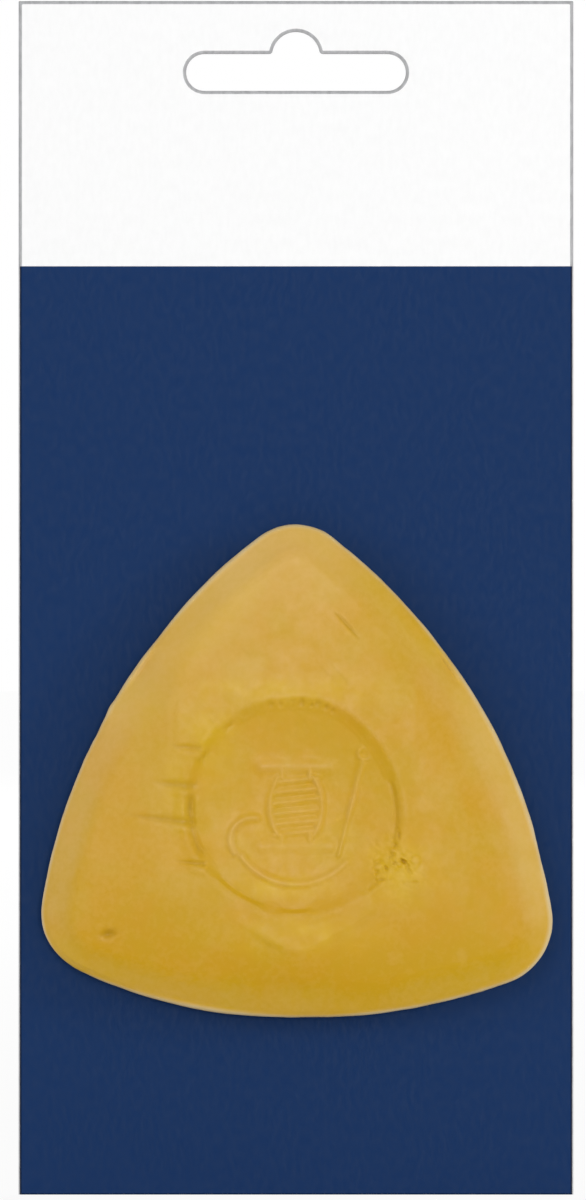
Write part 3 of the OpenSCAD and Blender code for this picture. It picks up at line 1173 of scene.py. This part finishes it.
def chalk_material():
    material, n, shader = new_material("pressed_chalk")
    ochre = srgb(200, 152, 8)
    warm = srgb(203, 152, 12)
    olive = srgb(197, 156, 5)
    # The fresh yellow of the chalk, also used as painted light on the bevels
    fresh_and_lit_yellow = srgb(212, 172, 14)
    # The pale of rubbed powder and of the painted highlight that the same mix carries
    dust_and_highlight = srgb(243, 206, 152)
    # The pale of the rubbed drawing edge and of its painted rim light
    worn_and_lit_rim = srgb(224, 205, 160)
    # The brown of the painted shade in the hollows, which the random specks below use too
    hollow_shade = srgb(170, 130, 10)
    tint = n.mix(n.ramp(n.noise(5.0, detail=2.0), 0.35, 0.65), warm, olive)
    base = n.mix(n.attribute("fresh_and_bevel_light"), n.mix(0.5, ochre, tint), fresh_and_lit_yellow)
    grain = n.noise(0.7, detail=5.0, rough=0.6)
    grain = n.ramp(grain, 0.3, 0.7, out=(-CHALK_GRAIN, CHALK_GRAIN))
    color = n.mix(n.math("ADD", n.attribute("powder_and_painted_light"), grain, clamp=True), base, dust_and_highlight)
    # Painted shade: the hollows are darkened towards that brown
    color = n.mix(n.math("MULTIPLY", n.attribute("hollow_shade"), CHALK_HOLLOW_SHADE_SHARE), color, hollow_shade)
    color = n.mix(n.attribute("rim"), color, worn_and_lit_rim)
    # Random dark specks of the chalk's own grain, in the same brown
    specks = n.ramp(n.noise(0.35, detail=2.0), 0.70, 0.80, out=(0.0, CHALK_SPECK_SHARE))
    color = n.mix(specks, color, hollow_shade)
    n.plug(color, shader.inputs["Base Color"])
    roughness = n.ramp(n.noise(1.5, detail=4.0), 0.2, 0.8, out=(0.38, 0.52))
    n.plug(roughness, shader.inputs["Roughness"])
    fine = n.bump(n.noise(0.22, detail=4.0, rough=0.65), depth_mm=0.01, strength=0.4)
    n.plug(n.bump(n.noise(1.1), depth_mm=0.03, strength=0.3, below=fine), shader.inputs["Normal"])
    shader.inputs["Specular IOR Level"].default_value = CHALK_GLOSS
    return material


FIBRE_STRETCH = (1, 1, 0.4)
FLECK_STRETCH = (1, 1, 0.25)
CLOUD_SHARE = 0.25
FLECK_SHARE = 0.5
PAPER_ROUGH_SPREAD = 0.06


def paper_material(name, color, other, rough, bump, level=0.3, rim=None, flecks=None):
    """Paper or board: a colour broken up by fibres that run up and down the sheet, with a rim or flecks."""
    material, n, shader = new_material(name)
    fibre = n.noise(0.5, detail=5.0, rough=0.6, stretch=FIBRE_STRETCH)
    shade = n.mix(n.ramp(fibre, 0.35, 0.7), color, other)
    if rim is not None:
        shade = n.mix(n.attribute("rim"), shade, rim)
    if flecks is not None:
        cloud = n.ramp(n.noise(14.0), 0.35, 0.65, out=(0.0, CLOUD_SHARE))
        shade = n.mix(cloud, shade, other)
        fleck = n.noise(0.45, detail=2.0, stretch=FLECK_STRETCH)
        shade = n.mix(n.ramp(fleck, 0.66, 0.74, out=(0.0, FLECK_SHARE)), shade, flecks)
    n.plug(shade, shader.inputs["Base Color"])
    spread = (rough - PAPER_ROUGH_SPREAD, rough + PAPER_ROUGH_SPREAD)
    n.plug(n.ramp(fibre, 0.3, 0.7, out=spread), shader.inputs["Roughness"])
    n.plug(n.bump(fibre, bump, strength=0.4), shader.inputs["Normal"])
    shader.inputs["Specular IOR Level"].default_value = level
    return material


GEL_CLEAR = 0.92
GEL_IOR = 1.47


def gel_material():
    material, n, shader = new_material("clear_adhesive")
    haze = n.ramp(n.noise(1.6, detail=2.0), 0.3, 0.7)
    n.plug(n.mix(haze, srgb(240, 238, 228), srgb(226, 222, 206)), shader.inputs["Base Color"])
    n.plug(n.ramp(haze, 0.0, 1.0, out=(0.08, 0.2)), shader.inputs["Roughness"])
    n.plug(n.bump(n.noise(1.8, detail=1.0), depth_mm=0.02, strength=0.3), shader.inputs["Normal"])
    shader.inputs["Transmission Weight"].default_value = GEL_CLEAR
    shader.inputs["IOR"].default_value = GEL_IOR
    return material


# Camera, lights and backdrop: the camera stands straight in front of the card, as the photograph's does
LENS = 300.0
SENSOR = 36.0
NEAREST = 0.01
FARTHEST = 50.0


def make_camera():
    px_per_mm = (CARD_RIGHT_PX - CARD_LEFT_PX) / card_w
    distance = LENS / SENSOR * PHOTO_H / px_per_mm
    centre_x = (PHOTO_W - CARD_LEFT_PX - CARD_RIGHT_PX) / 2 / px_per_mm
    centre_z = card_high.z - (PHOTO_H / 2 - CARD_TOP_PX) / px_per_mm
    data = bpy.data.cameras.new("camera")
    data.lens, data.sensor_width = LENS, SENSOR
    data.clip_start, data.clip_end = NEAREST, FARTHEST
    camera = bpy.data.objects.new("camera", data)
    camera.location = Vector((centre_x, ink_front - distance, centre_z)) * MM
    camera.rotation_euler = (math.radians(90), 0, 0)
    bpy.context.scene.collection.objects.link(camera)
    bpy.context.scene.camera = camera


# The lamps: degrees to the right, degrees up, distance, width, height and power
LAMPS = {
    "top_light": (-12, 16, 2.8, 1.0, 1.0, 10.4),
    "front_light": (4, 2, 1.6, 0.25, 0.25, 7.5),
    "right_light": (64, 10, 2.0, 0.4, 0.6, 8.3),
    "left_light": (-60, 12, 2.0, 0.4, 0.6, 4.9),
    "back_light": (165, 20, 2.4, 1.0, 1.0, 28.0),
}
WORLD_LEVEL = 0.3


def make_lamp(name, turn, rise, distance, width, height, power):
    """A soft lamp, seen from the card's middle at turn degrees to the right and rise degrees up."""
    aim = Vector((0.0, 0.0, (card_low.z + card_high.z) / 2 * MM))
    a, b = math.radians(turn), math.radians(rise)
    place = aim + distance * Vector((math.sin(a) * math.cos(b), -math.cos(a) * math.cos(b), math.sin(b)))
    data = bpy.data.lights.new(name, "AREA")
    data.shape = "RECTANGLE"
    data.size, data.size_y, data.energy = width, height, power
    lamp = bpy.data.objects.new(name, data)
    lamp.location = place
    lamp.rotation_euler = (aim - place).to_track_quat("-Z", "Y").to_euler()
    lamp.visible_camera = False
    bpy.context.scene.collection.objects.link(lamp)


def make_world(level):
    """An even light of that level, which is plain white wherever it is seen."""
    world = bpy.data.worlds.new("studio")
    bpy.context.scene.world = world
    world.use_nodes = True
    n = Nodes(world.node_tree)
    strength = n.math("ADD", n.math("MULTIPLY", n.seen(), 1.0 - level), level)
    n.plug(strength, world.node_tree.nodes["Background"].inputs["Strength"])
    world.node_tree.nodes["Background"].inputs["Color"].default_value = (1, 1, 1, 1)


FLOOR_REACH = 6.0
FLOOR_GREY = 0.93
# Shares of plain white light near the card and far from it, and the distances between which they change
FLOOR_GLOW = (0.92, 0.97)
GLOW_NEAR = 0.15
GLOW_FAR = 1.0


def make_floor():
    """A pale floor under the card's foot; where it is seen, most of it is plain white light."""
    z = card_low.z * MM
    corners = [(FLOOR_REACH * x, FLOOR_REACH * y, z) for x, y in ((-1, -1), (1, -1), (1, 1), (-1, 1))]
    mesh = bpy.data.meshes.new("floor")
    mesh.from_pydata(corners, [], [(0, 1, 2, 3)])
    material, n, shader = new_material("pale_floor")
    shader.inputs["Base Color"].default_value = (FLOOR_GREY, FLOOR_GREY, FLOOR_GREY, 1)
    shader.inputs["Roughness"].default_value = 0.9
    shader.inputs["Specular IOR Level"].default_value = 0.0
    blend = n.add("ShaderNodeMixShader")
    away = n.add("ShaderNodeVectorMath", operation="LENGTH")
    n.plug(n.add("ShaderNodeTexCoord").outputs["Object"], away.inputs[0])
    glow = n.ramp(away.outputs["Value"], GLOW_NEAR, GLOW_FAR, out=FLOOR_GLOW)
    n.plug(n.math("MULTIPLY", n.seen(), glow), blend.inputs[0])
    n.plug(shader.outputs[0], blend.inputs[1])
    n.plug(n.add("ShaderNodeEmission").outputs[0], blend.inputs[2])
    n.plug(blend.outputs[0], material.node_tree.nodes["Material Output"].inputs["Surface"])
    new_piece("floor", mesh, material)


make_camera()
make_world(WORLD_LEVEL)
for name, values in LAMPS.items():
    make_lamp(name, *values)
make_floor()

white, off_white = srgb(249, 249, 249), srgb(247, 247, 247)
core_grey, core_dark = srgb(191, 191, 193), srgb(173, 173, 175)
back_pale, back_dark, back_fleck = srgb(214, 211, 203), srgb(198, 195, 186), srgb(150, 146, 138)
navy, navy_other, navy_rim = srgb(5, 44, 90), srgb(7, 45, 92), srgb(3, 20, 48)
coat = paper_material("white_coat", white, off_white, rough=0.45, bump=0.002)
core = paper_material("board_core", core_grey, core_dark, rough=0.85, bump=0.01)
back = paper_material("board_back", back_pale, back_dark, rough=0.85, bump=0.008, flecks=back_fleck)
ink = paper_material("navy_ink", navy, navy_other, rough=0.55, bump=0.003, level=0.11, rim=navy_rim)
gel = gel_material()

dress(make_board(coat, core, back), "card", "card")
dress(make_print(ink), "ink_field", "card")
dress(make_chalk(chalk_material()), "chalk", "chalk")
for node in ("adhesive_dot_top", "adhesive_dot_left", "adhesive_dot_right"):
    dress(make_dot(node, gel), node, "card")

bpy.context.scene.view_settings.view_transform = "Standard"
